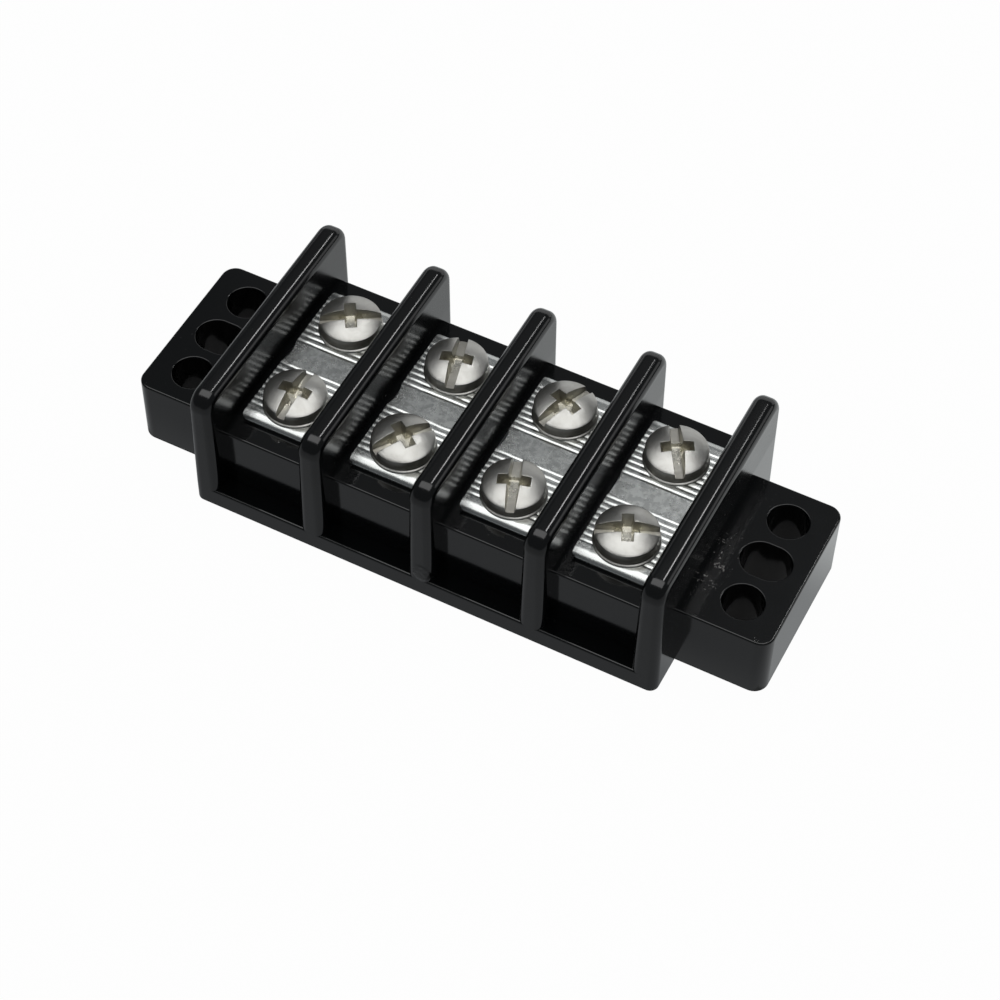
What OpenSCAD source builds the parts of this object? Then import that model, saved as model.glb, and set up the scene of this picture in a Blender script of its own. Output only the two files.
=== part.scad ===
// Barrier terminal strip: a moulded block with five barriers and two mounting ears,
// four terminal plates, and two binding screws on each plate.
// Millimetres. X runs along the row of poles, Y across it, Z up. The origin is the middle of the underside.

/* [Poles] */
// Distance from one pole to the next
pitch = 17.5; // [16.5:0.5:22]
// Distance between the two screws of a pole
screw_gap = 16.1; // [15:0.1:17]

/* [Moulded block] */
// Depth of the base and of the barriers' feet
base_d = 40; // [38:0.5:48]
// Height of the rail that closes each bay at its foot
rail_h = 3.1; // [2:0.1:5]
// Depth of the part that carries the terminal plates
block_d = 33.8; // [31:0.2:36]
// Height of the face that the terminal plates lie on
block_h = 13.4; // [12.5:0.1:16]

/* [Barriers] */
// Height of the barriers
barrier_h = 22.4; // [20:0.1:28]
// Thickness of a barrier at its foot
barrier_foot_t = 4.1; // [3.8:0.1:4.4]
// Thickness of a barrier at its top
barrier_top_t = 3.6; // [3:0.1:3.8]
// How far each end of a barrier leans in between the rail and the top
barrier_lean = 0.1; // [0:0.1:1.5]
// Radius of a barrier's top corners, seen from its side
barrier_corner_r = 2.7; // [2:0.1:5]
// Radius of the edges round a barrier's top
barrier_edge_r = 1.3; // [0.5:0.1:1.4]
// Radius of a barrier's upright edges at its foot
barrier_foot_r = 1.2; // [0.5:0.1:1.6]

/* [Mounting ears] */
// How far an ear stands out from the end barrier
ear_l = 13.3; // [12.5:0.1:18]
// Width of an ear
ear_d = 26.8; // [24:0.2:32]
// Height of an ear
ear_h = 11.3; // [6:0.1:13]
// Radius of an ear's two upright corners
ear_r = 2.2; // [1:0.1:3]
// Diameter of the round mounting holes, and the width of the slot between them
hole_d = 6; // [4.5:0.1:6.2]
// Distance between the two round holes of an ear
hole_gap = 15.6; // [14.5:0.1:17]
// Length of the middle slot from end to end
slot_l = 7.5; // [7:0.1:9]
// Distance from the hole axes to the ear's outer face
hole_inset = 6.35; // [5.5:0.05:7]
// Radius of the rounded lip round each hole and slot
lip_r = 0.35; // [0.1:0.05:0.5]

/* [Terminal plates] */
// Width of a plate
plate_w = 11.7; // [10.5:0.1:12.4]
// Length of a plate
plate_l = 27.2; // [26.4:0.1:30]
// Thickness of a plate
plate_t = 1.3; // [1:0.1:2]
// Radius of the rolled top edge at each end of a plate
plate_edge_r = 0.8; // [0.4:0.1:0.9]
// Radius of a plate's corners, seen from above
plate_corner_r = 0.7; // [0.3:0.1:1.5]
// Length of the plain band between the ridges
plain_l = 4.3; // [3:0.1:5]
// How far the plate is waisted in on each side of the plain band
waist = 0.4; // [0.2:0.05:0.8]
// Distance from one ridge to the next
ridge_pitch = 1.05; // [0.8:0.05:1.4]
// Width of the flat land on a ridge
ridge_land = 0.4; // [0.2:0.05:0.5]
// Depth of the grooves between the ridges
ridge_h = 0.15; // [0.05:0.01:0.25]
// Outer diameter of the threaded collars under a plate
collar_d = 7; // [6.4:0.1:8]
// How far the collars reach down from a plate
collar_h = 2.2; // [1.5:0.1:3]

/* [Screws] */
// Diameter of the screw thread
thread_d = 4.8; // [4:0.1:5]
// Length of a screw below its head
screw_l = 8; // [7:0.1:9]
// Diameter of the flange round the foot of the head
head_d = 9.6; // [9:0.1:10.6]
// Thickness of that flange
flange_t = 0.25; // [0.15:0.05:0.4]
// Height of the head's rim above the plate
rim_h = 1.9; // [1.6:0.1:2.2]
// How much narrower the rim is than the flange
rim_in = 0.55; // [0.4:0.05:1.2]
// Height of the crown above the rim
crown_h = 0.9; // [0.6:0.1:1.2]
// Width of the long driving slot
slot_w = 1.6; // [1:0.1:1.8]
// Depth of the long driving slot below the crown
slot_depth = 1.7; // [1.2:0.1:1.9]
// Length of the short cross arm
cross_l = 4.9; // [4:0.1:5.4]
// Depth of the short cross arm below the crown
cross_depth = 2.2; // [1.9:0.1:2.3]

/* [Hidden] */
poles = 4;
front = -1;
back = 1;

// Clearances
press_gap = 0.03;   // collar in its socket, on the radius
thread_gap = 0.06;  // screw in its collar, on the radius
tip_gap = 0.6;      // room round and under a screw's tip
overlap = 0.5;      // how far a cut runs past the face that it opens

// Where things stand
row_l = poles * pitch + barrier_foot_t;
ear_x = row_l / 2 + ear_l;
hole_x = ear_x - hole_inset;
plate_z = block_h + plate_t;
rim_r = head_d / 2 - rim_in;
head_h = rim_h + crown_h;

// Facets of the true circles, and of the corners that are blended
$fn = 64;
blend_fn = 32;

function pole_x(pole) = (pole - (poles + 1) / 2) * pitch;
function barrier_x(index) = (index - poles / 2) * pitch;

// A round plate that stands on edge across X, with a radius round both rims
module rounded_disc(r, t, edge) {
    rotate([0, 90, 0])
        rotate_extrude($fn = blend_fn)
            intersection() {
                translate([0, -t / 2])
                    square([r, t]);
                union() {
                    translate([0, -t / 2])
                        square([r - edge, t]);
                    for (side = [-1, 1])
                        translate([r - edge, side * (t / 2 - edge)])
                            circle(edge, $fn = 24);
                    translate([0, edge - t / 2])
                        square([r, t - 2 * edge]);
                }
            }
}

// One barrier: a foot as high as the rail, drafted up to two round top corners
module barrier() {
    foot_x = barrier_foot_t / 2 - barrier_foot_r;
    foot_y = base_d / 2 - barrier_foot_r;
    corner_y = base_d / 2 - barrier_lean - barrier_corner_r;
    hull() {
        for (x = [-foot_x, foot_x], y = [-foot_y, foot_y])
            translate([x, y, 0])
                cylinder(rail_h, r = barrier_foot_r, $fn = blend_fn);
        for (side = [front, back])
            translate([0, side * corner_y, barrier_h - barrier_corner_r])
                rounded_disc(barrier_corner_r, barrier_top_t, barrier_edge_r);
    }
}

// Both ears as one flat bar with rounded ends, drilled and slotted
module ears() {
    difference() {
        linear_extrude(ear_h)
            union() {
                square([2 * (ear_x - ear_r), ear_d], center = true);
                square([2 * ear_x, ear_d - 2 * ear_r], center = true);
                for (x = [-1, 1], y = [-1, 1])
                    translate([x * (ear_x - ear_r), y * (ear_d / 2 - ear_r)])
                        circle(ear_r);
            }
        for (side = [-1, 1])
            translate([side * hole_x, 0, 0])
                ear_holes();
    }
}

// Half section of a hole, from below the ear to above its rounded lip
module hole_section() {
    translate([0, -overlap])
        square([hole_d / 2, ear_h + 2 * overlap]);
    difference() {
        translate([0, ear_h - lip_r])
            square([hole_d / 2 + lip_r, lip_r + overlap]);
        translate([hole_d / 2 + lip_r, ear_h - lip_r])
            circle(lip_r);
    }
}

// Two round holes with a slot along X between them
module ear_holes() {
    slot_run = slot_l - hole_d;
    for (side = [front, back])
        translate([0, side * hole_gap / 2, 0])
            rotate_extrude()
                hole_section();
    for (end = [-1, 1])
        translate([end * slot_run / 2, 0, 0])
            rotate_extrude()
                hole_section();
    for (side = [0, 180])
        rotate([0, 0, side])
            translate([-slot_run / 2, 0, 0])
                rotate([90, 0, 90])
                    linear_extrude(slot_run)
                        hole_section();
}

// The stepped hole under one screw: a socket for the collar, then room for the screw's tip
module screw_well() {
    socket_h = collar_h + tip_gap / 2;
    well_h = screw_l - plate_t + tip_gap;
    translate([0, 0, block_h - socket_h])
        cylinder(socket_h + overlap, r = collar_d / 2 + press_gap);
    translate([0, 0, block_h - well_h])
        cylinder(well_h, r = thread_d / 2 + tip_gap);
}

module block() {
    color([0.03, 0.03, 0.035])
        difference() {
            union() {
                ears();
                translate([-poles * pitch / 2, -base_d / 2, 0])
                    cube([poles * pitch, base_d, rail_h]);
                translate([-poles * pitch / 2, -block_d / 2, 0])
                    cube([poles * pitch, block_d, block_h]);
                for (index = [0 : poles])
                    translate([barrier_x(index), 0, 0])
                        barrier();
            }
            for (pole = [1 : poles], side = [front, back])
                translate([pole_x(pole), side * screw_gap / 2, 0])
                    screw_well();
        }
}

// Side view of a plate: rolled ends, and V grooves from the plain band out to each end
module plate_side() {
    groove_w = ridge_pitch - ridge_land;
    grooves = floor((plate_l / 2 - plate_edge_r - plain_l / 2) / ridge_pitch);
    difference() {
        union() {
            translate([-plate_l / 2, 0])
                square([plate_l, plate_t - plate_edge_r]);
            translate([plate_edge_r - plate_l / 2, 0])
                square([plate_l - 2 * plate_edge_r, plate_t]);
            for (end = [-1, 1])
                translate([end * (plate_l / 2 - plate_edge_r), plate_t - plate_edge_r])
                    circle(plate_edge_r);
        }
        for (end = [-1, 1], index = [0 : grooves - 1])
            translate([end * (plain_l / 2 + (index + 0.5) * ridge_pitch), plate_t])
                polygon([[-groove_w / 2, 0], [0, -ridge_h], [groove_w / 2, 0], [0, ridge_h]]);
    }
}

// Plan of a plate: a strip with round corners, and a shallow round notch in each side of its plain band
module plate_plan() {
    corner_x = plate_w / 2 - plate_corner_r;
    corner_y = plate_l / 2 - plate_corner_r;
    chord = plain_l / 2;
    notch_r = (chord * chord + waist * waist) / (2 * waist);
    difference() {
        union() {
            square([plate_w, 2 * corner_y], center = true);
            square([2 * corner_x, plate_l], center = true);
            for (x = [-corner_x, corner_x], y = [-corner_y, corner_y])
                translate([x, y])
                    circle(plate_corner_r);
        }
        for (side = [-1, 1])
            translate([side * (plate_w / 2 - waist + notch_r), 0])
                circle(notch_r, $fn = 128);
    }
}

module terminal_plate(pole) {
    color([0.8, 0.8, 0.77])
        translate([pole_x(pole), 0, block_h])
            difference() {
                union() {
                    intersection() {
                        translate([plate_w / 2, 0, 0])
                            rotate([90, 0, -90])
                                linear_extrude(plate_w)
                                    plate_side();
                        linear_extrude(plate_t)
                            plate_plan();
                    }
                    for (side = [front, back])
                        translate([0, side * screw_gap / 2, -collar_h])
                            cylinder(collar_h + plate_t / 2, d = collar_d);
                }
                for (side = [front, back])
                    translate([0, side * screw_gap / 2, -collar_h - overlap])
                        cylinder(collar_h + plate_t + 2 * overlap, r = thread_d / 2 + thread_gap);
            }
}

module terminal_1() terminal_plate(1);
module terminal_2() terminal_plate(2);
module terminal_3() terminal_plate(3);
module terminal_4() terminal_plate(4);

// Half section of a screw up to its rim: chamfered shank, flange and tapered side
module screw_section() {
    chamfer = thread_d / 8;
    polygon([[0, rim_h], [rim_r, rim_h], [rim_r + rim_in / 2, flange_t * 2], [head_d / 2, flange_t],
             [head_d / 2, 0], [thread_d / 2, 0], [thread_d / 2, chamfer - screw_l],
             [thread_d / 2 - chamfer, -screw_l], [0, -screw_l]]);
}

// The domed crown, a cap of a ball that reaches down into the head
module screw_crown() {
    crown_r = (rim_r * rim_r + crown_h * crown_h) / (2 * crown_h);
    intersection() {
        translate([0, 0, head_h - crown_r])
            sphere(crown_r);
        cylinder(head_h, r = rim_r);
    }
}

// Driving recess: a slot right across the crown, and a short, deeper arm across the slot
module drive_recess() {
    for (arm = [[head_d + 2 * overlap, slot_depth], [slot_w, cross_depth]])
        translate([-arm[0] / 2, -slot_w / 2, head_h - arm[1]])
            cube([arm[0], slot_w, arm[1] + overlap]);
    translate([-slot_w / 2, -cross_l / 2, head_h - cross_depth])
        cube([slot_w, cross_l, cross_depth + overlap]);
}

// turn is the direction of the long slot, counted from X
module terminal_screw(pole, side, turn) {
    color([0.72, 0.72, 0.68])
        translate([pole_x(pole), side * screw_gap / 2, plate_z])
            rotate([0, 0, turn])
                difference() {
                    union() {
                        rotate_extrude()
                            screw_section();
                        screw_crown();
                    }
                    drive_recess();
                }
}

module screw_1_front() terminal_screw(1, front, 100);
module screw_1_back() terminal_screw(1, back, 35);
module screw_2_front() terminal_screw(2, front, 59);
module screw_2_back() terminal_screw(2, back, 106);
module screw_3_front() terminal_screw(3, front, 110);
module screw_3_back() terminal_screw(3, back, 72);
module screw_4_front() terminal_screw(4, front, 24);
module screw_4_back() terminal_screw(4, back, 119.5);

block();
terminal_1();
terminal_2();
terminal_3();
terminal_4();
screw_1_front();
screw_1_back();
screw_2_front();
screw_2_back();
screw_3_front();
screw_3_back();
screw_4_front();
screw_4_back();
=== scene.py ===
import math

import bmesh
import bpy
from mathutils import Matrix, Vector, noise


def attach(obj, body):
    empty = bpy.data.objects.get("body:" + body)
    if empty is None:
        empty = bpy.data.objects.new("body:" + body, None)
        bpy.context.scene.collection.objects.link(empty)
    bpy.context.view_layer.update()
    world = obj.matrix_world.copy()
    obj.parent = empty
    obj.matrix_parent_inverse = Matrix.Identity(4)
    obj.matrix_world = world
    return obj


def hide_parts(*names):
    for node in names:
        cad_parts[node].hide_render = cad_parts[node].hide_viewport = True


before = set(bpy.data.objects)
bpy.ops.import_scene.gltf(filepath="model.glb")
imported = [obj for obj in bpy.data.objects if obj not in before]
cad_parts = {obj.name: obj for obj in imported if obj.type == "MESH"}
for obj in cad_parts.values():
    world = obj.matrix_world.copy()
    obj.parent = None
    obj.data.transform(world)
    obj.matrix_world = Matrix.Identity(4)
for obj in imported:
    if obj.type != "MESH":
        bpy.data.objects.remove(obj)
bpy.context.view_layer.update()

# ---------------------------------------------------------------------------------------------
# Moulded block. One glossy black phenolic moulding: five barriers on a shelf that carries the
# terminal plates, a rail that closes each bay at its foot, and two drilled and slotted ears.
# Every outside edge keeps the small radius of the mould. Sizes are in millimetres.
# ---------------------------------------------------------------------------------------------
MM = 0.001
PITCH = 17.5
POLES = 4
SCREW_GAP = 16.1
BASE_D = 40.0
RAIL_H = 3.1
RAIL_EDGE = 0.35
SHELF_D = 33.8
SHELF_H = 13.4
SHELF_EDGE = 0.3
BARRIER_H = 22.4
BARRIER_FOOT_T = 4.1
BARRIER_TOP_T = 3.6
BARRIER_LEAN = 0.12
BARRIER_CORNER_R = 2.7
BARRIER_EDGE_R = 1.35
EAR_X = 50.35
EAR_D = 26.8
EAR_H = 11.3
EAR_CORNER_R = 2.2
EAR_EDGE = 0.3
HOLE_X = 44.0
HOLE_GAP = 15.6
HOLE_R = 3.0
HOLE_SIDES = 72
SLOT_RUN = 1.5
LIP_R = 0.18
WELL_TOP_R = 3.53
WELL_TOP_H = 2.5
WELL_R = 3.0
WELL_H = 7.3
WELL_SIDES = 48

# How near two points are to be one, how near a size counts as reached, how nearly two directions
# agree, and how far a cutter goes past the face that it cuts.
SAME_SPOT = 1e-4
NEAR = 0.1
SAME_WAY = 0.9
OVERCUT = 1.0

MOULDED_BLACK = (0.0030, 0.0035, 0.0038, 1)
DUSTY_BLACK = (0.035, 0.034, 0.033, 1)
WORN_GREY = (0.30, 0.29, 0.27, 1)

# Marks on the moulding, each by its middle, its reach each way, and how soft its edge is.
WORN_SPOTS = (((38.2, -3.6, EAR_H), (3.2, 8.2, 0.6), 0.8),
              ((49.2, -12.6, EAR_H), (1.8, 1.4, 1.0), 0.5),
              ((1.7, -15.6, SHELF_H), (0.9, 1.3, 0.6), 0.5),
              ((2.2, -19.8, 3.9), (0.7, 0.7, 0.8), 0.3))
SCAR = ((0.4, -BASE_D / 2, 4.8), (1.5, 1.2, 1.9), 0.35)

pole_x = [(n - (POLES - 1) / 2) * PITCH for n in range(POLES)]
barrier_x = [(n - POLES / 2) * PITCH for n in range(POLES + 1)]


def cuboid(size, middle):
    """A box of this size, round its middle."""
    bm = bmesh.new()
    bmesh.ops.create_cube(bm, size=1.0)
    bmesh.ops.scale(bm, vec=size, verts=bm.verts)
    bmesh.ops.translate(bm, vec=middle, verts=bm.verts)
    return bm


def round_edges(bm, edges, radius, segments):
    bmesh.ops.bevel(bm, geom=list(edges), offset=radius, offset_type="OFFSET", affect="EDGES",
                    segments=segments, profile=0.5, material=-1, clamp_overlap=False)


def edges_along(bm, axis, lowest=0.0):
    """Edges that run along one axis, with their middle at or above a height."""
    found = []
    for edge in bm.edges:
        run = edge.verts[1].co - edge.verts[0].co
        middle = (edge.verts[0].co + edge.verts[1].co) / 2
        if run.length > SAME_SPOT and abs(run.normalized()[axis]) > SAME_WAY and middle.z >= lowest:
            found.append(edge)
    return found


def quarter_turn(steps):
    """The angles that draw a round corner of an outline."""
    return [math.pi / 2 * n / steps for n in range(steps + 1)]


def turned(profile, sides):
    """A closed solid turned about Z from (radius, height) points that start and end on the axis."""
    bm = bmesh.new()
    verts = [bm.verts.new((r, 0.0, z)) for r, z in profile]
    edges = [bm.edges.new(pair) for pair in zip(verts, verts[1:])]
    bmesh.ops.spin(bm, geom=verts + edges, cent=(0, 0, 0), axis=(0, 0, 1), angle=2 * math.pi,
                   steps=sides, use_merge=True)
    bmesh.ops.remove_doubles(bm, verts=bm.verts, dist=SAME_SPOT)
    bmesh.ops.recalc_face_normals(bm, faces=bm.faces)
    return bm


def turn_about_z(bm, angle):
    bmesh.ops.rotate(bm, verts=bm.verts, cent=(0, 0, 0), matrix=Matrix.Rotation(angle, 3, "Z"))


def gathered(solids):
    """One mesh in metres from several bmeshes in millimetres."""
    total = bmesh.new()
    for bm in solids:
        part = bpy.data.meshes.new("part")
        bm.to_mesh(part)
        bm.free()
        total.from_mesh(part)
        bpy.data.meshes.remove(part)
    bmesh.ops.scale(total, vec=(MM, MM, MM), verts=total.verts)
    mesh = bpy.data.meshes.new("gathered")
    total.to_mesh(mesh)
    total.free()
    return mesh


def new_object(name, contents):
    made = bpy.data.objects.new(name, contents)
    bpy.context.scene.collection.objects.link(made)
    return made


def finished_mesh(piece):
    """The piece's mesh with its modifiers applied."""
    graph = bpy.context.evaluated_depsgraph_get()
    return bpy.data.meshes.new_from_object(piece.evaluated_get(graph))


def cut(piece, solids, operation="DIFFERENCE"):
    """Takes the solids from the piece with an exact boolean, or joins them to it."""
    tool = new_object("cutter", gathered(solids))
    step = piece.modifiers.new("cut", "BOOLEAN")
    step.operation = operation
    step.solver = "EXACT"
    step.object = tool
    mesh = finished_mesh(piece)
    piece.modifiers.remove(step)
    piece.data = mesh
    bpy.data.objects.remove(tool)


def smooth_to(piece, angle):
    """Shades smooth across edges flatter than the angle in degrees, with flat faces kept flat."""
    mesh = piece.data
    mesh.shade_smooth()
    mesh.set_sharp_from_angle(angle=math.radians(angle))
    flat = piece.modifiers.new("flat faces", "WEIGHTED_NORMAL")
    flat.mode = "FACE_AREA"
    flat.keep_sharp = True


def coat(piece, finish):
    piece.data.materials.clear()
    piece.data.materials.append(finish.material)


def barrier_solid(x):
    """A wall that thins towards its top, with rounded top corners and a rounded rim."""
    bm = cuboid((BARRIER_FOOT_T, BASE_D, BARRIER_H), (0, 0, BARRIER_H / 2))
    bmesh.ops.bisect_plane(bm, geom=bm.verts[:] + bm.edges[:] + bm.faces[:], dist=SAME_SPOT,
                           plane_co=(0, 0, RAIL_H), plane_no=(0, 0, 1))
    for vert in bm.verts:
        if vert.co.z > BARRIER_H - NEAR:
            vert.co.x *= BARRIER_TOP_T / BARRIER_FOOT_T
            vert.co.y -= math.copysign(BARRIER_LEAN, vert.co.y)
    round_edges(bm, edges_along(bm, 0, BARRIER_H - NEAR), BARRIER_CORNER_R, segments=14)
    rim = [edge for edge in bm.edges if len(edge.link_faces) == 2
           and sum(abs(face.normal.x) > SAME_WAY for face in edge.link_faces) == 1
           and max(vert.co.z for vert in edge.verts) > NEAR]
    round_edges(bm, rim, BARRIER_EDGE_R, segments=8)
    bmesh.ops.translate(bm, vec=(x, 0, 0), verts=bm.verts)
    return bm


def slab_solid(depth, height, edge_r):
    """The shelf or the rail, with its front and back top edges rounded."""
    bm = cuboid((POLES * PITCH, depth, height), (0, 0, height / 2))
    round_edges(bm, edges_along(bm, 0, height - NEAR), edge_r, segments=4)
    return bm


def ear_bar_solid():
    """One bar from end to end, whose two ends are the ears."""
    bm = cuboid((2 * EAR_X, EAR_D, EAR_H), (0, 0, EAR_H / 2))
    round_edges(bm, edges_along(bm, 2), EAR_CORNER_R, segments=10)
    top = [edge for edge in bm.edges if min(vert.co.z for vert in edge.verts) > EAR_H - NEAR]
    round_edges(bm, top, EAR_EDGE, segments=4)
    return bm


def ear_hole_cutter(x, y, run):
    """A turned cutter with a flared lip, pulled apart along X into a slot where run is given."""
    lip = [(HOLE_R + LIP_R * (1 - math.cos(a)), EAR_H - LIP_R * (1 - math.sin(a)))
           for a in quarter_turn(steps=6)]
    head = EAR_H + OVERCUT
    bm = turned([(0, -OVERCUT), (HOLE_R, -OVERCUT)] + lip + [(HOLE_R + LIP_R, head), (0, head)],
                HOLE_SIDES)
    turn_about_z(bm, math.pi / HOLE_SIDES)
    for vert in bm.verts:
        if abs(vert.co.x) > SAME_SPOT:
            vert.co.x += math.copysign(run / 2, vert.co.x)
    bmesh.ops.translate(bm, vec=(x, y, 0), verts=bm.verts)
    return bm


def well_cutter(x, y):
    """The blind stepped hole under a screw, which seats the plate's collar."""
    floor = SHELF_H - WELL_H
    ledge = SHELF_H - WELL_TOP_H
    head = SHELF_H + OVERCUT
    bm = turned([(0, floor), (WELL_R, floor), (WELL_R, ledge), (WELL_TOP_R, ledge), (WELL_TOP_R, head),
                 (0, head)], WELL_SIDES)
    bmesh.ops.translate(bm, vec=(x, y, 0), verts=bm.verts)
    return bm


moulding = new_object("moulding", gathered([ear_bar_solid()]))
cut(moulding, [ear_hole_cutter(side * HOLE_X, y, run) for side in (-1, 1)
               for y, run in ((-HOLE_GAP / 2, 0), (0, SLOT_RUN), (HOLE_GAP / 2, 0))])
cut(moulding, [slab_solid(BASE_D, RAIL_H, RAIL_EDGE)], "UNION")
cut(moulding, [slab_solid(SHELF_D, SHELF_H, SHELF_EDGE)], "UNION")
cut(moulding, [barrier_solid(x) for x in barrier_x], "UNION")
cut(moulding, [well_cutter(x, side * SCREW_GAP / 2) for x in pole_x for side in (-1, 1)])
smooth_to(moulding, angle=32)


class Wire:
    """A socket that carries a value: sums on it add Math nodes."""

    def __init__(self, tree, socket):
        self.tree = tree
        self.socket = socket

    def math_node(self, operation, *terms):
        node = self.tree.nodes.new("ShaderNodeMath")
        node.operation = operation
        for slot, term in zip(node.inputs, terms):
            plug(self.tree, slot, term)
        return Wire(self.tree, node.outputs[0])

    def __add__(self, other):
        return self.math_node("ADD", self, other)

    def __sub__(self, other):
        return self.math_node("SUBTRACT", self, other)

    def __mul__(self, other):
        return self.math_node("MULTIPLY", self, other)

    def __radd__(self, other):
        return self.math_node("ADD", other, self)

    def __rsub__(self, other):
        return self.math_node("SUBTRACT", other, self)

    def __rmul__(self, other):
        return self.math_node("MULTIPLY", other, self)

    def at_most(self, other):
        return self.math_node("MINIMUM", self, other)

    def at_least(self, other):
        return self.math_node("MAXIMUM", self, other)

    def size(self):
        return self.math_node("ABSOLUTE", self)


def plug(tree, slot, term):
    """Links a wire to a node's input, or writes a plain value there."""
    if isinstance(term, Wire):
        tree.links.new(term.socket, slot)
    elif term is not None:
        slot.default_value = term


class Nodes:
    """A node tree with one method that adds any node, and short names for the usual ones."""

    def __init__(self, tree):
        self.tree = tree

    def node(self, kind, settings=None, output=0, **sockets):
        """Adds a node. A socket goes by its name, or by i and its number where names repeat."""
        made = self.tree.nodes.new(kind)
        for key, value in (settings or {}).items():
            setattr(made, key, value)
        for key, value in sockets.items():
            numbered = key[0] == "i" and key[1:].isdigit()
            plug(self.tree, made.inputs[int(key[1:]) if numbered else key.replace("_", " ")], value)
        return Wire(self.tree, made.outputs[output])

    def place(self):
        """Object coordinates, in metres."""
        return self.node("ShaderNodeTexCoord", output="Object")

    def along(self, axis, place):
        """How far the place lies along X, Y or Z."""
        return self.node("ShaderNodeSeparateXYZ", output=axis, Vector=place)

    def speckle(self, place, scale, detail=2.0, roughness=0.5, distortion=0.0):
        return self.node("ShaderNodeTexNoise", Vector=place, Scale=scale, Detail=detail,
                         Roughness=roughness, Distortion=distortion)

    def ramp(self, value, low, high, to_low=0.0, to_high=1.0):
        """A smooth ramp of the value from low to high."""
        return self.node("ShaderNodeMapRange", {"interpolation_type": "SMOOTHSTEP"}, Value=value,
                         From_Min=low, From_Max=high, To_Min=to_low, To_Max=to_high)

    def ramp_mm(self, distance, low, high, to_low=0.0, to_high=1.0):
        """A smooth ramp of a distance, with its ends in millimetres."""
        return self.ramp(distance, low * MM, high * MM, to_low, to_high)

    def blend(self, factor, first, second):
        """A colour between two colours."""
        return self.node("ShaderNodeMix", {"data_type": "RGBA"}, output=2, i0=factor, i6=first, i7=second)

    def bump(self, height, distance, strength, over=None):
        """Relief of this depth in millimetres, over another relief where one is given."""
        return self.node("ShaderNodeBump", Height=height, Distance=distance * MM, Strength=strength,
                         Normal=over)

    def show(self, wire, last):
        """Links a shader to the tree's last node."""
        self.tree.links.new(wire.socket, self.tree.nodes[last].inputs["Surface"])


class Finish(Nodes):
    """A new material: constants are the same all over, and what varies is fed from wires."""

    def __init__(self, name, **constants):
        self.material = bpy.data.materials.new(name)
        self.material.use_nodes = True
        super().__init__(self.material.node_tree)
        self.shader = self.tree.nodes["Principled BSDF"]
        self.feed(**constants)

    def feed(self, **sockets):
        for key, value in sockets.items():
            plug(self.tree, self.shader.inputs[key.replace("_", " ")], value)


def mark(finish, place, middle, reach, soft):
    """A soft round mask, 1 in the middle, for a mark on a surface."""
    apart = finish.node("ShaderNodeVectorMath", {"operation": "SUBTRACT"}, i0=place,
                        i1=[v * MM for v in middle])
    scaled = finish.node("ShaderNodeVectorMath", {"operation": "DIVIDE"}, i0=apart,
                         i1=[v * MM for v in reach])
    gap = finish.node("ShaderNodeVectorMath", {"operation": "LENGTH"}, output="Value", i0=scaled)
    return finish.ramp(gap, 1.0, 1.0 - soft)


phenolic = Finish("black_phenolic", IOR=1.6)
place = phenolic.place()
up = phenolic.along("Z", place)
mottle = phenolic.speckle(place, 260, 3)
grain = phenolic.speckle(place, 2600, 4, 0.6)
dust_drifts = phenolic.ramp(phenolic.speckle(place, 130, 2), 0.42, 0.60)
dust = phenolic.ramp(phenolic.speckle(place, 1700, 1), 0.74, 0.80) * dust_drifts
flecks = phenolic.ramp(phenolic.speckle(place, 1100, 5, 0.75), 0.57, 0.65)
worn_spots = sum(mark(phenolic, place, *spot) for spot in WORN_SPOTS)
wear = (flecks * worn_spots).at_most(1.0)
scar = mark(phenolic, place, *SCAR)
scar_ridges = phenolic.speckle(place, 900, 3, 0.6, 1.5)
above_shelf = phenolic.ramp_mm(up, SHELF_H + 0.4, SHELF_H + 1.6)
below_rim = phenolic.ramp_mm(up, BARRIER_H - 0.8, BARRIER_H - 2.2, 0.45, 1.0)
barrier_side = above_shelf * below_rim
dusty = phenolic.blend((dust * 0.5 + scar * scar_ridges * 0.4).at_most(1.0), MOULDED_BLACK, DUSTY_BLACK)
fine_relief = phenolic.bump(grain * 0.3 + wear, 0.03, 0.2)
moulded_relief = phenolic.bump(mottle, 0.06, 0.12, over=fine_relief)
phenolic.feed(
    Base_Color=phenolic.blend(wear, dusty, WORN_GREY),
    Roughness=0.085 + mottle * 0.04 + barrier_side * 0.12 + dust * 0.15 + wear * 0.25 + scar * 0.16,
    Normal=phenolic.bump(scar_ridges * scar, 0.35, 0.8, over=moulded_relief))
coat(moulding, phenolic)
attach(moulding, "strip")
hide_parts("block")

# ---------------------------------------------------------------------------------------------
# Terminal plates. Brass strip with a bright tin plate, blanked and pressed: cross ridges bite
# into the wire on both sides of a plain waisted band, both ends are rolled down, and two
# threaded collars below sit in the sockets of the moulding.
# ---------------------------------------------------------------------------------------------
PLATE_W = 11.7
PLATE_L = 27.2
PLATE_T = 1.3
PLATE_TOP = SHELF_H + PLATE_T
PLATE_END_RUN = 1.7
PLATE_END_DROP = 0.8
PLATE_CORNER_R = 0.7
PLATE_COLUMNS = 34
PLATE_SEED = 11.3
SIDE_EDGE = 0.995
SIDE_EDGE_DROP = 0.05
PLAIN_L = 4.3
PLAIN_STEP = 0.2
WAIST = 0.4
RAGGED = 0.05
RIDGE_WANDER = 0.06
RIDGE_SAG = 0.04
RIDGE_PITCH = 1.05
GROOVE_DEPTH = 0.10
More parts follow.
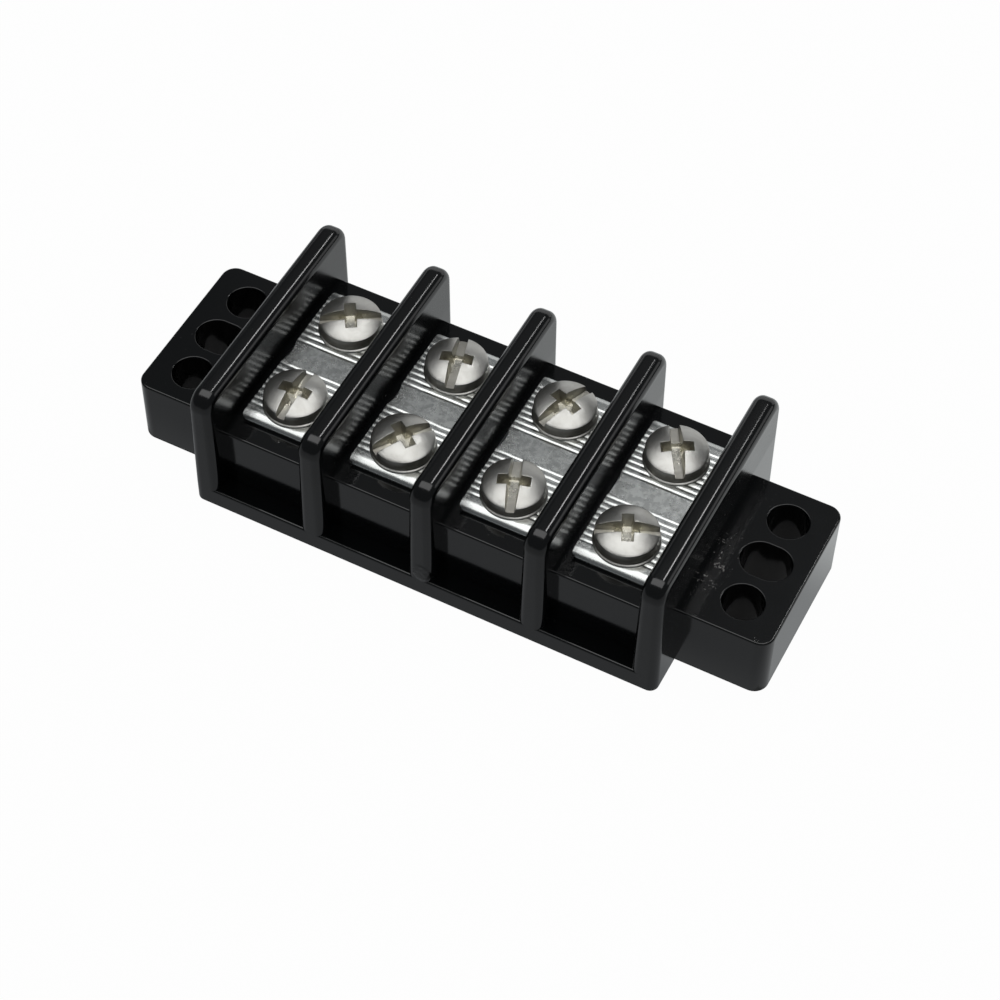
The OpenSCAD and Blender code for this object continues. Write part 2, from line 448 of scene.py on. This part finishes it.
# A pressed groove and the land after it, as shares of the pitch and of the depth.
GROOVE = ((0.0, 0.0), (0.06, 0.08), (0.26, 0.62), (0.33, 0.72), (0.40, 0.62), (0.60, 0.08), (0.66, 0.0),
          (0.83, 0.0))
COLLAR_R = 3.5
COLLAR_H = 2.2
COLLAR_CHAMFER = 0.2
COLLAR_RISE = 0.6
COLLAR_SIDES = 48
BORE_R = 2.46

# The darker tin colour is painted shade in the grooves and at the plate's foot, and also real stains.
SHADED_AND_STAINED_TIN = (0.22, 0.23, 0.23, 1)
BRIGHT_TIN = (0.82, 0.84, 0.82, 1)


def plate_profile():
    """Half of a plate's side view, from the plain band out to the rolled end, as (y, z)."""
    points = [(PLAIN_STEP * n, PLATE_T) for n in range(int(PLAIN_L / 2 / PLAIN_STEP) + 1)]
    y = PLAIN_L / 2
    while y + RIDGE_PITCH < PLATE_L / 2 - PLATE_END_RUN:
        points += [(y + part * RIDGE_PITCH, PLATE_T - depth * GROOVE_DEPTH) for part, depth in GROOVE]
        y += RIDGE_PITCH
    for a in quarter_turn(steps=9):
        points.append((PLATE_L / 2 - PLATE_END_RUN * (1 - math.sin(a)),
                       PLATE_T - PLATE_END_DROP * (1 - math.cos(a))))
    return points + [(PLATE_L / 2, 0.0)]


def half_width(y):
    """How far a plate reaches from its middle at this distance along it."""
    y = abs(y)
    if y < PLAIN_L / 2:
        return PLATE_W / 2 - WAIST * (1 - (2 * y / PLAIN_L) ** 2)
    past = max(0.0, y - (PLATE_L / 2 - PLATE_CORNER_R))
    return PLATE_W / 2 - PLATE_CORNER_R + math.sqrt(max(0.0, PLATE_CORNER_R ** 2 - past ** 2))


def plate_solid(x, seed):
    """The side view pushed out across the width, then waisted and given its pressed unevenness."""
    half = plate_profile()
    outline = [(-y, z) for y, z in reversed(half)] + half[1:]
    bm = bmesh.new()
    face = bm.faces.new([bm.verts.new((-PLATE_W / 2, y, z)) for y, z in outline])
    inner = [SIDE_EDGE * (2 * n / PLATE_COLUMNS - 1) for n in range(PLATE_COLUMNS + 1)]
    reaches = [-1.0] + inner + [1.0]
    for before, after in zip(reaches, reaches[1:]):
        grown = bmesh.ops.extrude_face_region(bm, geom=[face])["geom"]
        bmesh.ops.translate(bm, vec=((after - before) * PLATE_W / 2, 0, 0),
                            verts=[part for part in grown if isinstance(part, bmesh.types.BMVert)])
        if before > -1.0:
            bmesh.ops.delete(bm, geom=[face], context="FACES_ONLY")
        face = next(part for part in grown if isinstance(part, bmesh.types.BMFace))
    bmesh.ops.recalc_face_normals(bm, faces=bm.faces)
    for vert in bm.verts:
        reach = vert.co.x / (PLATE_W / 2)
        y, z = vert.co.y, vert.co.z
        plain = abs(y) < PLAIN_L / 2 - NEAR
        at_side = abs(reach) > (1 + SIDE_EDGE) / 2
        ragged = 0.0
        if at_side and not plain:
            ragged = RAGGED * noise.noise(Vector((seed, y * 2.1, 5 + reach)))
        vert.co.x = reach * (half_width(y) - abs(ragged))
        on_top = z > PLATE_T - 3 * GROOVE_DEPTH and abs(y) < PLATE_L / 2 - PLATE_END_RUN
        if on_top and not plain:
            vert.co.y += RIDGE_WANDER * noise.noise(Vector((vert.co.x * 0.35, y * 0.5, seed)))
            vert.co.z -= RIDGE_SAG * abs(noise.noise(Vector((vert.co.x * 1.3, y * 1.7, seed + 7))))
        if at_side and z > PLATE_T - PLATE_END_DROP:
            vert.co.z -= SIDE_EDGE_DROP
    bmesh.ops.translate(bm, vec=(x, 0, SHELF_H), verts=bm.verts)
    return bm


def collar_solid(x, y):
    bm = turned([(0, -COLLAR_H), (COLLAR_R - COLLAR_CHAMFER, -COLLAR_H),
                 (COLLAR_R, COLLAR_CHAMFER - COLLAR_H), (COLLAR_R, COLLAR_RISE), (0, COLLAR_RISE)],
                COLLAR_SIDES)
    bmesh.ops.translate(bm, vec=(x, y, SHELF_H), verts=bm.verts)
    return bm


def bore_cutter(x, y):
    low = -COLLAR_H - OVERCUT
    high = PLATE_T + OVERCUT
    bm = turned([(0, low), (BORE_R, low), (BORE_R, high), (0, high)], COLLAR_SIDES)
    bmesh.ops.translate(bm, vec=(x, y, SHELF_H), verts=bm.verts)
    return bm


tin = Finish("tin_plate", Metallic=1.0, IOR=1.5)
place = tin.place()
up = tin.along("Z", place)
cloud = tin.speckle(place, 300, 3, 0.5, 0.4)
pits = tin.speckle(place, 2400, 3, 0.65)
drawn = tin.speckle(tin.node("ShaderNodeMapping", Vector=place, Scale=(0.12, 1.0, 1.0)), 3800, 3, 0.6)
band = tin.ramp_mm(tin.along("Y", place).size(), PLAIN_L / 2 + 0.2, PLAIN_L / 2 - 0.35)
# Painted shade: the groove walls are coloured darker than the ridge tops.
land = tin.ramp_mm(up, PLATE_TOP - 0.11, PLATE_TOP - 0.05)
# Painted shade: the plate is coloured dark near the shelf, along the foot of its rolled ends and over the
# collars.
above_end = tin.ramp_mm(up, SHELF_H + 0.25, SHELF_H + 0.75)
stain = tin.ramp(tin.speckle(place, 240, 2, 0.5, 0.3), 0.30, 0.75)
spangle = band * tin.ramp(tin.speckle(place, 1000, 3, 0.7), 0.42, 0.58)
# Painted shade in the grooves and at the foot, times real stains and spangle.
brightness = (0.80 + 0.20 * land) * above_end * (1 - 0.16 * stain) * (1 - 0.36 * spangle)
soft_relief = tin.bump(cloud * (1 - 0.6 * band), 0.12, 0.4)
tin.feed(
    Base_Color=tin.blend(brightness, SHADED_AND_STAINED_TIN, BRIGHT_TIN),
    Roughness=0.185 + 0.05 * stain + 0.06 * pits + 0.03 * (1 - land) + 0.03 * band,
    Normal=tin.bump(pits * 0.6 + drawn * 0.6, 0.02, 0.5, over=soft_relief))
for number, x in enumerate(pole_x, start=1):
    screw_places = [(x, side * SCREW_GAP / 2) for side in (-1, 1)]
    plate = new_object(f"terminal_plate_{number}", gathered([plate_solid(x, number * PLATE_SEED)]))
    cut(plate, [collar_solid(*spot) for spot in screw_places], "UNION")
    cut(plate, [bore_cutter(*spot) for spot in screw_places])
    smooth_to(plate, angle=40)
    coat(plate, tin)
    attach(plate, "strip")
    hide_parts(f"terminal_{number}")

# ---------------------------------------------------------------------------------------------
# Binding screws. Steel with a slightly yellowed nickel plate, cold headed: a domed head on a
# tapered side and a thin flange, a slot right across it and a short cross arm struck deeper,
# and a rolled thread that runs down through the plate's collar.
# ---------------------------------------------------------------------------------------------
HEAD_R = 4.8
RIM_R = 4.5
RIM_H = 2.1
CROWN_H = 1.0
CROWN_STEPS = 16
HEAD_H = RIM_H + CROWN_H
SCREW_SIDES = 96
SHANK_L = 8.0
TIP_R = 1.2
POINT_R = 1.85
POINT_H = 0.05
THREAD_R = 2.4
THREAD_CUT = 0.30
THREAD_LEAD = 0.8
THREAD_FADE = 0.5
THREAD_ROWS = 96
UNDER_HEAD = 0.02
ARM_RISE = 0.6
SLOT_L = 12.0
SLOT_W = 1.9
SLOT_FLOOR_W = 1.15
SLOT_DEPTH = 1.8
CROSS_L = 5.0
CROSS_FLOOR_L = 3.3
CROSS_DEPTH = 2.3
STRUCK_EDGE = 0.09
SUNK_FROM = 0.12
SUNK_OVER = 0.5
# How far each screw is turned, in degrees.
SCREW_TURNS = {(1, "front"): 92, (1, "back"): 32, (2, "front"): 55, (2, "back"): 105,
               (3, "front"): 110, (3, "back"): 68, (4, "front"): 25, (4, "back"): 120}

NICKEL = (0.58, 0.575, 0.545, 1)
# Painted highlight: the colour of the slot and cross recess, lighter than the dome.
LIT_RECESS_NICKEL = (0.74, 0.72, 0.64, 1)
# Painted shade: the colour of the head's tapered side, darker and browner.
SHADED_SIDE_NICKEL = (0.26, 0.24, 0.20, 1)


def crown_height(r):
    """How high the dome stands over the plate at this distance from the head's middle."""
    crown_r = (RIM_R ** 2 + CROWN_H ** 2) / (2 * CROWN_H)
    return HEAD_H - crown_r + math.sqrt(crown_r ** 2 - r ** 2)


def head_profile():
    """The head's outline: the flange, the ledge over it, the tapered side's rim, and the dome."""
    flange = [(THREAD_R, -UNDER_HEAD), (THREAD_R, 0.0), (HEAD_R - 0.06, 0.0), (HEAD_R, 0.06),
              (HEAD_R, 0.18)]
    ledge = [(HEAD_R - 0.02, 0.23), (HEAD_R - 0.22, 0.31), (HEAD_R - 0.24, 0.40)]
    rim = [(RIM_R + 0.06, RIM_H - 0.12), (RIM_R + 0.04, RIM_H - 0.03), (RIM_R, RIM_H)]
    crown = [RIM_R * (1 - n / CROWN_STEPS) for n in range(1, CROWN_STEPS + 1)]
    return flange + ledge + rim + [(r, crown_height(r)) for r in crown]


def shank_profile():
    """The shank's outline, with a flat tip, a short point, and rows to carry the thread."""
    points = [(0, -SHANK_L), (TIP_R, -SHANK_L)]
    for n in range(THREAD_ROWS + 1):
        z = -SHANK_L + POINT_H + (SHANK_L - POINT_H) * n / THREAD_ROWS
        points.append((min(THREAD_R, POINT_R + (z + SHANK_L)), z))
    return points


def screw_solid():
    bm = turned(shank_profile() + head_profile(), SCREW_SIDES)
    for vert in bm.verts:
        r = vert.co.xy.length
        if vert.co.z < -UNDER_HEAD and r > TIP_R + NEAR:
            turn = math.atan2(vert.co.y, vert.co.x) / (2 * math.pi)
            phase = (vert.co.z / THREAD_LEAD - turn) % 1.0
            depth = THREAD_CUT * (1 - abs(2 * phase - 1)) * min(1.0, -vert.co.z / THREAD_FADE)
            vert.co.x *= (r - depth) / r
            vert.co.y *= (r - depth) / r
    return bm


def arm_cutter(length, floor_length, width, floor_width, depth, turn):
    """A recess arm whose ends and sides draw in towards its floor."""
    bm = cuboid((1, 1, 1), (0, 0, 0.5))
    for vert in bm.verts:
        high = vert.co.z > 0.5
        grow = ARM_RISE / depth
        vert.co.x *= length + (length - floor_length) * grow if high else floor_length
        vert.co.y *= width + (width - floor_width) * grow if high else floor_width
        vert.co.z = HEAD_H + ARM_RISE if high else HEAD_H - depth
    turn_about_z(bm, math.radians(turn))
    return bm


screw_pattern = new_object("screw_pattern", gathered([screw_solid()]))
# The slot, then the two cross arms, each a little slimmer so that no two walls coincide.
for arm in ((SLOT_L, SLOT_L, SLOT_W, SLOT_FLOOR_W, SLOT_DEPTH, 0),
            (CROSS_L, CROSS_FLOOR_L, SLOT_W - 0.1, SLOT_FLOOR_W, CROSS_DEPTH, 90),
            (CROSS_L - 0.2, CROSS_FLOOR_L - 0.1, SLOT_W - 0.15, SLOT_FLOOR_W - 0.05, CROSS_DEPTH, 0)):
    cut(screw_pattern, [arm_cutter(*arm)])
soften = screw_pattern.modifiers.new("struck edges", "BEVEL")
soften.width = STRUCK_EDGE * MM
soften.segments = 2
soften.limit_method = "ANGLE"
soften.angle_limit = math.radians(42)
soften.use_clamp_overlap = True
pattern_mesh = finished_mesh(screw_pattern)
bpy.data.objects.remove(screw_pattern)
# How deep each point lies below the dome: 0 on the dome, and 1 well down in the recess.
sunk = pattern_mesh.attributes.new("sunk", "FLOAT", "POINT")
for vert, depth in zip(pattern_mesh.vertices, sunk.data):
    r = vert.co.xy.length / MM
    if r < RIM_R - NEAR and vert.co.z > 0:
        below = crown_height(r) - vert.co.z / MM
        depth.value = max(0.0, min(1.0, (below - SUNK_FROM) / SUNK_OVER))

nickel = Finish("nickel_plate", Metallic=1.0, IOR=1.5)
place = nickel.place()
cloud = nickel.speckle(place, 500, 4, 0.6, 0.6)
pits = nickel.speckle(place, 2600, 4, 0.7)
recess = nickel.node("ShaderNodeAttribute", {"attribute_name": "sunk"}, output="Fac")
head_up = nickel.along("Z", place) - PLATE_TOP * MM
below_rim = nickel.ramp_mm(head_up, RIM_H - 0.1, RIM_H - 1.0)
above_flange = nickel.ramp_mm(head_up, 0.30, 0.45)
# Painted shade: the head's tapered side, from the ledge up to the rim, is coloured darker and browner;
# the cloud adds random dulling all over.
side_shade = below_rim * above_flange * (1 - recess)
shade_and_mottle = (0.62 * side_shade + 0.20 * nickel.ramp(cloud, 0.40, 0.70)).at_most(1.0)
soft_relief = nickel.bump(cloud * (0.3 + 0.7 * recess), 0.12, 0.6)
# Painted highlight: the slot and cross recess is coloured lighter than the dome.
nickel.feed(
    Base_Color=nickel.blend(shade_and_mottle, nickel.blend(recess, NICKEL, LIT_RECESS_NICKEL), SHADED_SIDE_NICKEL),
    Roughness=0.25 + 0.06 * cloud + 0.10 * pits + 0.04 * side_shade - 0.05 * recess,
    Normal=nickel.bump(pits, 0.04, 0.5, over=soft_relief))
for (pole, side), turn in SCREW_TURNS.items():
    y = (-1 if side == "front" else 1) * SCREW_GAP / 2
    mesh = pattern_mesh.copy()
    mesh.transform(Matrix.Translation((pole_x[pole - 1] * MM, y * MM, PLATE_TOP * MM))
                   @ Matrix.Rotation(math.radians(turn), 4, "Z"))
    screw = new_object(f"binding_screw_{pole}_{side}", mesh)
    smooth_to(screw, angle=38)
    coat(screw, nickel)
    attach(screw, f"screw_{pole}_{side}")
    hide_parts(f"screw_{pole}_{side}")

# ---------------------------------------------------------------------------------------------
# Table, lights and camera, in metres. A plain pale table that also glows into the gloss beside it,
# a wide soft light overhead, a small one behind that draws the line along each barrier, two pale
# walls behind and a dim window to the right.
# ---------------------------------------------------------------------------------------------
TABLE_REACH = 3.0
TABLE_DROP = 0.00002
TABLE_GREY = (0.8, 0.8, 0.8, 1)
SHADED_TABLE = (0.26, 0.27, 0.28, 1)
LIT_TABLE = (0.85, 0.88, 0.88, 1)
WHITE = (1, 1, 1, 1)
ROOM_GREY = (0.9, 0.95, 1.0, 1)
ROOM_STRENGTH = 0.10
# Each lamp's place, the point it is aimed at, its width and depth, and its watts.
LAMPS = (("overhead", (-0.08, 0.07, 1.0), (-0.08, 0.071, 0), (1.20, 0.75), 4.3),
         ("slit", (0.04, 0.60, 0.92), (0, 0, 0), (0.12, 0.12), 0.6),
         ("upper wall", (-0.32, 0.75, 0.87), (0, 0, 0), (0.40, 0.50), 0.03),
         ("low wall", (-0.20, 1.10, 0.33), (0, 0, 0.05), (2.0, 0.55), 2.1),
         ("window", (0.78, 0.60, 0.42), (0, 0, 0), (0.35, 0.35), 0.25))
# The camera is turned by these degrees, and its lens is in millimetres.
CAMERA_PLACE = (0.106615, -0.210280, 0.302245)
CAMERA_TURN = (37.8294, -0.7818, 27.3098)
CAMERA_LENS = 94.196

table_top = bmesh.new()
bmesh.ops.create_grid(table_top, x_segments=1, y_segments=1, size=TABLE_REACH)
bmesh.ops.translate(table_top, vec=(0, 0, -TABLE_DROP), verts=table_top.verts)
table = new_object("table", bpy.data.meshes.new("table"))
table_top.to_mesh(table.data)
table_top.free()

pale = Finish("pale_table", Base_Color=TABLE_GREY, Roughness=0.9)
seen = pale.node("ShaderNodeLightPath", output="Is Camera Ray")
mirrored = pale.node("ShaderNodeLightPath", output="Is Glossy Ray")
through = pale.node("ShaderNodeLightPath", output="Is Transmission Ray")
place = pale.place()
along = pale.along("X", place)
across = pale.along("Y", place)
past_ends = pale.ramp_mm(along.size(), EAR_X - 0.35, EAR_X + 0.25)
past_sides = pale.ramp_mm(across.size(), EAR_D / 2 - 0.3, EAR_D / 2 + 0.3)
beside = past_ends.at_least(past_sides)
lit = pale.ramp_mm(across, -19, -8) * 0.32 + pale.ramp_mm(across, 4, 18) * (0.40 + along * 4.0)
shade = pale.blend(mirrored, WHITE, pale.blend(lit, SHADED_TABLE, LIT_TABLE))
glow = pale.node("ShaderNodeEmission", Color=shade, Strength=1.0)
glowing = (seen * 0.98 + mirrored * beside * 0.9 + through * 0.9).at_most(0.98)
matt = Wire(pale.tree, pale.shader.outputs["BSDF"])
pale.show(pale.node("ShaderNodeMixShader", i0=glowing, i1=matt, i2=glow), "Material Output")
coat(table, pale)

for name, stand, aim, (width, depth), watts in LAMPS:
    lamp = bpy.data.lights.new(name, "AREA")
    lamp.shape = "RECTANGLE"
    lamp.size = width
    lamp.size_y = depth
    lamp.energy = watts
    holder = new_object(name, lamp)
    holder.location = stand
    holder.rotation_euler = (Vector(aim) - Vector(stand)).to_track_quat("-Z", "Y").to_euler()

room = bpy.data.worlds.new("room")
room.use_nodes = True
bpy.context.scene.world = room
air = Nodes(room.node_tree)
seen = air.node("ShaderNodeLightPath", output="Is Camera Ray")
dim = air.node("ShaderNodeBackground", Color=ROOM_GREY, Strength=ROOM_STRENGTH)
white = air.node("ShaderNodeBackground", Color=WHITE, Strength=1.0)
air.show(air.node("ShaderNodeMixShader", i0=seen, i1=dim, i2=white), "World Output")

camera_data = bpy.data.cameras.new("camera")
camera_data.sensor_width = 36.0
camera_data.lens = CAMERA_LENS
camera_data.clip_start = 0.01
camera = new_object("camera", camera_data)
camera.location = CAMERA_PLACE
camera.rotation_euler = [math.radians(angle) for angle in CAMERA_TURN]
bpy.context.scene.camera = camera
bpy.context.scene.view_settings.view_transform = "Standard"
